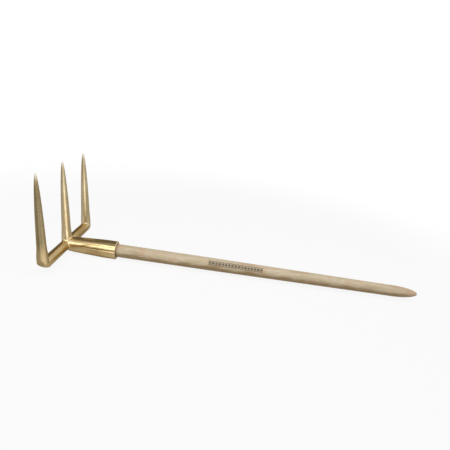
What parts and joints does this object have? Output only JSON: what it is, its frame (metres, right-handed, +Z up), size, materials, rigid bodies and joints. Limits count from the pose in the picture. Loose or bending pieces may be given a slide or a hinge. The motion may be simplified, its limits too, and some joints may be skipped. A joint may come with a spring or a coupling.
{
  "type": "pitchfork",
  "caption": "Bent farm fork: tapered round bronze tines square to a long round ash handle, on a mitred crossbar welded to a flared socket.",
  "frame": {"origin": "under the middle of the whole tool, level with its lowest point, the socket's mouth", "axes": "+X along the handle towards its free end, +Y towards the right (far) tine, +Z up, the way the tines point"},
  "size_m": [0.9, 0.2738, 0.222],
  "materials": {
    "bronze": "polished drawn bar, satin along its length",
    "socket_bronze": "turned and polished, with fine rings round it",
    "weld_metal": "dressed and polished weld, a little paler than the bars",
    "ash_wood": "smooth, lightly oiled, with open grain along it",
    "screw_bronze": "plain satin"
  },
  "bodies": {
    "root": {"crossbar": "bronze", "left_tine": "bronze", "centre_tine": "bronze", "right_tine": "bronze", "socket": "socket_bronze", "left_corner_weld": "weld_metal", "right_corner_weld": "weld_metal", "centre_tine_weld": "weld_metal", "socket_weld": "weld_metal", "handle": "ash_wood", "handle_screw": "screw_bronze"}
  },
  "joints": []
}
